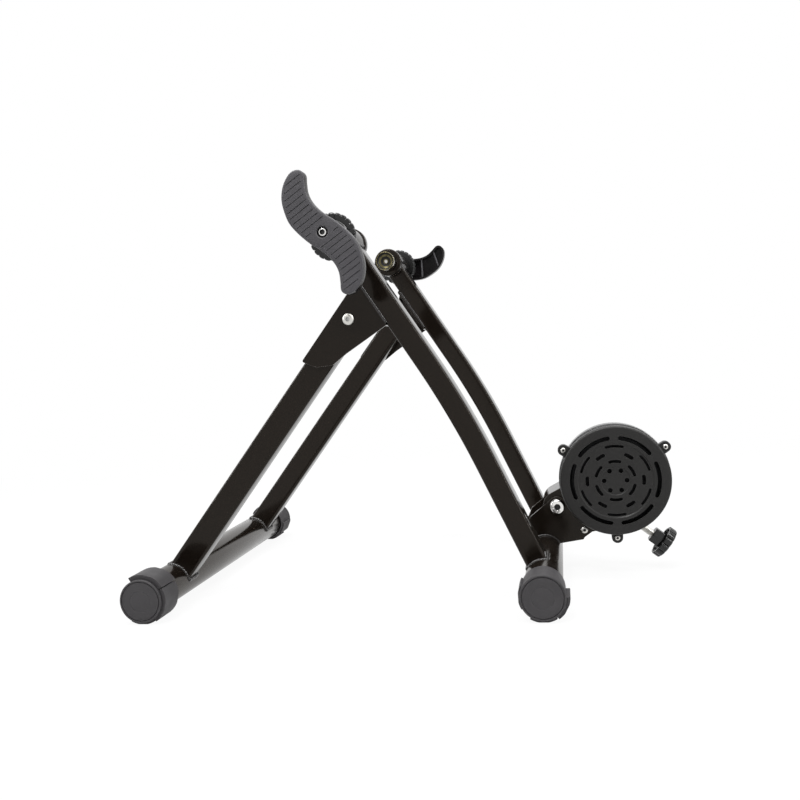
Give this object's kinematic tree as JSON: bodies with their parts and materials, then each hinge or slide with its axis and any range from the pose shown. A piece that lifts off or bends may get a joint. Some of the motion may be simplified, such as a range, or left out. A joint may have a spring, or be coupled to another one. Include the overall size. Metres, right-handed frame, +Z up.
{
  "type": "wheel-on bike trainer",
  "caption": "Folding wheel-on bike trainer: black steel A-frame, S-shaped clamp handles, axle cups, swinging magnetic resistance unit with vented round cover, and levelling end caps.",
  "frame": {"origin": "floor point under the middle of the trainer's box", "axes": "+X towards the rear of the bike, where the resistance unit is; +Y to the far side in the picture; +Z up"},
  "size_m": [0.5722, 0.468, 0.4353],
  "materials": {
    "black_enamel": "gloss",
    "grey_plastic": "satin",
    "black_plastic": "satin",
    "cover_plastic": "satin",
    "cap_rubber": "matte",
    "chrome": "polished",
    "zinc": "satin",
    "steel": "machined",
    "aluminium": "machined",
    "magnet": "satin"
  },
  "bodies": {
    "rear_frame": {"rear_foot_tube": "black_enamel", "rear_leg_near": "black_enamel", "rear_leg_far": "black_enamel", "fold_bracket_near": "black_enamel", "fold_bracket_far": "black_enamel", "fold_bolt_near": "zinc", "fold_bolt_far": "zinc", "fold_nut_near": "zinc", "fold_nut_far": "zinc", "axle_sleeve_near": "black_enamel", "axle_sleeve_far": "black_enamel", "unit_cheek_near": "black_enamel", "unit_cheek_far": "black_enamel", "arm_pivot_bolt": "chrome", "arm_pivot_nut": "zinc", "bracket_spacer": "zinc", "bracket_bolt": "zinc", "bracket_nut": "zinc", "tension_nut": "zinc"},
    "front_frame": {"front_foot_tube": "black_enamel", "front_leg_near": "black_enamel", "front_leg_far": "black_enamel", "fold_bush_near": "steel", "fold_bush_far": "steel"},
    "resistance_unit": {"roller_arm": "black_enamel", "arm_bush": "steel", "roller_bearing_near": "steel", "roller_bearing_far": "steel", "back_shell": "black_plastic", "vented_cover": "cover_plastic", "cover_screw_1": "zinc", "cover_screw_2": "zinc", "cover_screw_3": "zinc", "mount_screw_1": "zinc", "mount_screw_2": "zinc", "mount_screw_3": "zinc", "magnet_ring": "magnet"},
    "roller_set": {"roller_shaft": "steel", "drive_roller": "steel", "shaft_clip": "zinc", "rotor_disc": "aluminium", "flywheel": "steel", "shaft_nut": "zinc"},
    "tension_follower": {"tension_shoe": "steel"},
    "tension_screw": {"tension_rod": "zinc", "tension_knob": "black_plastic"},
    "near_cup": {"axle_cup_near": "chrome"},
    "far_cup": {"axle_cup_far": "chrome"},
    "near_spindle": {"spindle_near": "zinc", "clamp_handle_near": "grey_plastic", "handle_screw_near": "chrome"},
    "far_spindle": {"spindle_far": "zinc", "clamp_handle_far": "grey_plastic", "handle_screw_far": "chrome"},
    "near_ring": {"lock_ring_near": "black_plastic"},
    "far_ring": {"lock_ring_far": "black_plastic"},
    "rear_near_cap": {"rear_cap_near": "cap_rubber"},
    "rear_far_cap": {"rear_cap_far": "cap_rubber"},
    "front_near_cap": {"front_cap_near": "cap_rubber"},
    "front_far_cap": {"front_cap_far": "cap_rubber"}
  },
  "joints": [
    {"name": "fold", "type": "hinge", "parent": "rear_frame", "child": "front_frame", "pos_m": [-0.04901, 0, 0.29512], "axis": [0, -1, 0], "range_deg": [0, 62]},
    {"name": "near_handle_turn", "type": "hinge", "parent": "near_cup", "child": "near_spindle", "pos_m": [-0.05073, -0.16, 0.3749], "axis": [0, 1, 0], "range_deg": [-360, 1800]},
    {"name": "near_cup_slide", "type": "slide", "parent": "rear_frame", "child": "near_cup", "axis": [0, 1, 0], "range_m": [-0.004, 0.02]},
    {"name": "near_ring_turn", "type": "hinge", "parent": "rear_frame", "child": "near_ring", "pos_m": [-0.05073, -0.19, 0.3749], "axis": [0, 1, 0], "range_deg": [-360, 360]},
    {"name": "far_handle_turn", "type": "hinge", "parent": "far_cup", "child": "far_spindle", "pos_m": [-0.05073, 0.16, 0.3749], "axis": [0, -1, 0], "range_deg": [-360, 1800]},
    {"name": "far_cup_slide", "type": "slide", "parent": "rear_frame", "child": "far_cup", "axis": [0, -1, 0], "range_m": [-0.004, 0.02]},
    {"name": "far_ring_turn", "type": "hinge", "parent": "rear_frame", "child": "far_ring", "pos_m": [-0.05073, 0.19, 0.3749], "axis": [0, -1, 0], "range_deg": [-360, 360]},
    {"name": "knob_turn", "type": "hinge", "parent": "tension_follower", "child": "tension_screw", "pos_m": [0.22537, 0, 0.0618], "axis": [-0.788, 0, 0.6157], "range_deg": [0, 4055]},
    {"name": "shoe_slide", "type": "slide", "parent": "rear_frame", "child": "tension_follower", "axis": [-0.788, 0, 0.6157], "range_m": [0, 0.0142]},
    {"name": "arm_swing", "type": "hinge", "parent": "rear_frame", "child": "resistance_unit", "pos_m": [0.1526, 0, 0.07582], "axis": [0, -1, 0], "range_deg": [0, 22]},
    {"name": "roller_spin", "type": "hinge", "parent": "resistance_unit", "child": "roller_set", "pos_m": [0.21587, 0, 0.1087], "axis": [0, 1, 0], "continuous": true},
    {"name": "rear_near_cap_turn", "type": "hinge", "parent": "rear_frame", "child": "rear_near_cap", "pos_m": [0.13757, -0.2, 0.02398], "axis": [0, 1, 0], "range_deg": [-75, 75]},
    {"name": "rear_far_cap_turn", "type": "hinge", "parent": "rear_frame", "child": "rear_far_cap", "pos_m": [0.13757, 0.2, 0.02398], "axis": [0, 1, 0], "range_deg": [-75, 75]},
    {"name": "front_near_cap_turn", "type": "hinge", "parent": "front_frame", "child": "front_near_cap", "pos_m": [-0.26073, -0.2, 0.02398], "axis": [0, 1, 0], "range_deg": [-75, 75]},
    {"name": "front_far_cap_turn", "type": "hinge", "parent": "front_frame", "child": "front_far_cap", "pos_m": [-0.26073, 0.2, 0.02398], "axis": [0, 1, 0], "range_deg": [-75, 75]}
  ],
  "couplings": [
    {"joint": "near_cup_slide", "follows": "near_handle_turn", "m_per_rad": 0.00063662},
    {"joint": "far_cup_slide", "follows": "far_handle_turn", "m_per_rad": 0.00063662},
    {"joint": "shoe_slide", "follows": "arm_swing", "m_per_rad": 0.036615},
    {"joint": "knob_turn", "follows": "arm_swing", "ratio": 184.05}
  ]
}
